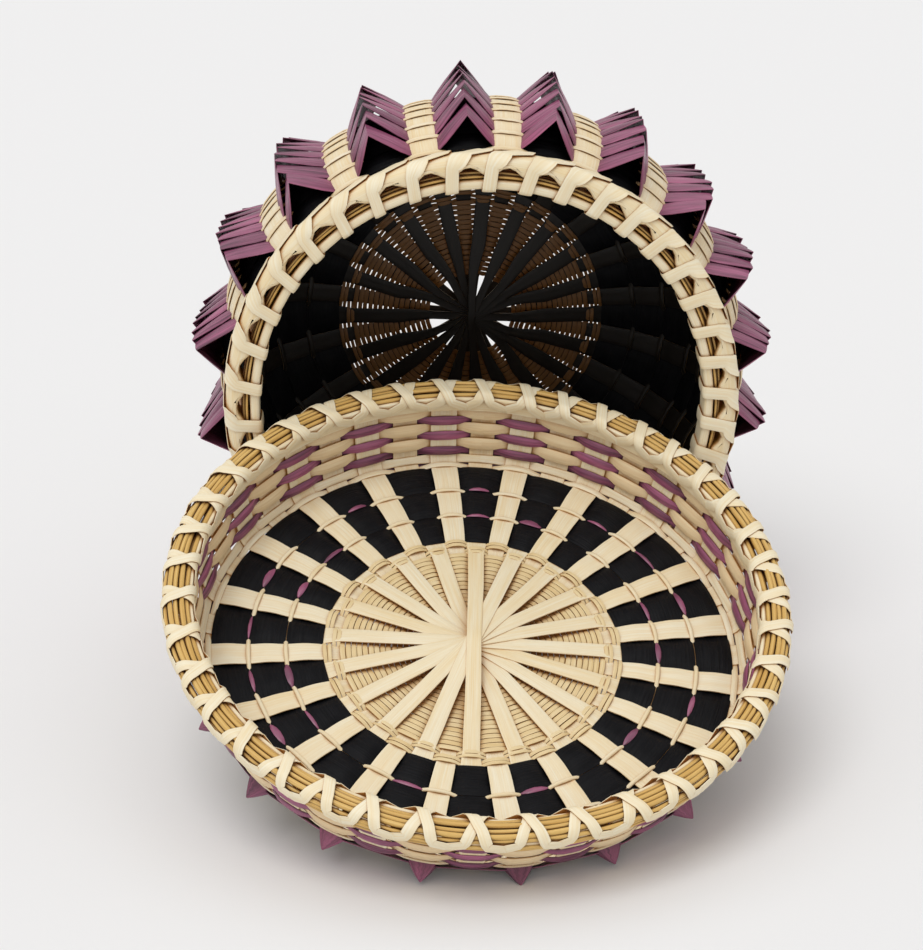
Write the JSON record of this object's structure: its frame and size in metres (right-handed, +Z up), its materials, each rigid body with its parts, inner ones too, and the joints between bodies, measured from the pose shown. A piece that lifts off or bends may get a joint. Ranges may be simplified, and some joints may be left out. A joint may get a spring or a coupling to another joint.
{
  "type": "lidded splint basket",
  "caption": "Round woven ash splint basket with folded points and lashed rims, lying on its side with its cap lid leaning in its mouth.",
  "frame": {"origin": "on the floor, under the middle of the bounding box of the basket and its lid", "axes": "+Z up, +Y away from the viewer, from the lid into the basket mouth, +X to the right of the viewer"},
  "size_m": [0.2344, 0.3084, 0.235],
  "materials": {
    "natural_ash": "undyed black ash splint, satin, with fine straight grain",
    "black_ash": "black ash splint dyed black, with a soft sheen",
    "purple_ash": "black ash splint dyed purple, paler where the dye has worn",
    "rim_filler": "golden dried grass strands laid between the rim hoops"
  },
  "bodies": {
    "basket": {"basket_centre_disc": "natural_ash", "basket_inner_splints": "natural_ash", "basket_outer_splints": "natural_ash", "basket_black_weaver_1": "black_ash", "basket_black_weaver_2": "black_ash", "basket_black_weaver_3": "black_ash", "basket_black_weaver_4": "black_ash", "basket_black_weaver_5": "black_ash", "basket_black_weaver_6": "black_ash", "basket_black_weaver_7": "black_ash", "basket_black_weaver_8": "black_ash", "basket_black_weaver_9": "black_ash", "basket_black_weaver_10": "black_ash", "basket_black_weaver_11": "black_ash", "basket_black_weaver_12": "black_ash", "basket_thin_weaver_1": "natural_ash", "basket_thin_weaver_2": "natural_ash", "basket_thin_weaver_3": "natural_ash", "basket_thin_weaver_4": "natural_ash", "basket_thin_weaver_5": "natural_ash", "basket_thin_weaver_6": "natural_ash", "basket_thin_weaver_7": "natural_ash", "basket_thin_weaver_8": "natural_ash", "basket_thin_weaver_9": "natural_ash", "basket_thin_weaver_10": "natural_ash", "basket_thin_weaver_11": "natural_ash", "basket_point_weaver_1": "purple_ash", "basket_point_weaver_2": "purple_ash", "basket_point_weaver_3": "purple_ash", "basket_point_weaver_4": "purple_ash", "basket_point_weaver_5": "purple_ash", "basket_point_weaver_6": "purple_ash", "basket_point_weaver_7": "purple_ash", "basket_point_weaver_8": "purple_ash", "basket_rim_inner_hoop": "natural_ash", "basket_rim_outer_hoop": "natural_ash", "basket_rim_filler": "rim_filler", "basket_rim_lashing": "natural_ash"},
    "lid": {"lid_centre_disc": "natural_ash", "lid_inner_splints": "natural_ash", "lid_outer_splints": "natural_ash", "lid_black_weaver_1": "black_ash", "lid_black_weaver_2": "black_ash", "lid_black_weaver_3": "black_ash", "lid_thin_weaver_1": "natural_ash", "lid_thin_weaver_2": "natural_ash", "lid_point_weaver": "purple_ash", "lid_purple_weaver_1": "purple_ash", "lid_purple_weaver_2": "purple_ash", "lid_purple_weaver_3": "purple_ash", "lid_natural_weaver_1": "natural_ash", "lid_natural_weaver_2": "natural_ash", "lid_natural_weaver_3": "natural_ash", "lid_rim_inner_hoop": "natural_ash", "lid_rim_outer_hoop": "natural_ash", "lid_rim_filler": "rim_filler", "lid_rim_lashing_right": "natural_ash", "lid_rim_lashing_left": "natural_ash"}
  },
  "joints": [
    {"name": "lid_lift", "type": "slide", "parent": "basket", "child": "lid", "axis": [0.065, -0.3811, 0.9222], "range_m": [0, 0.16]}
  ]
}
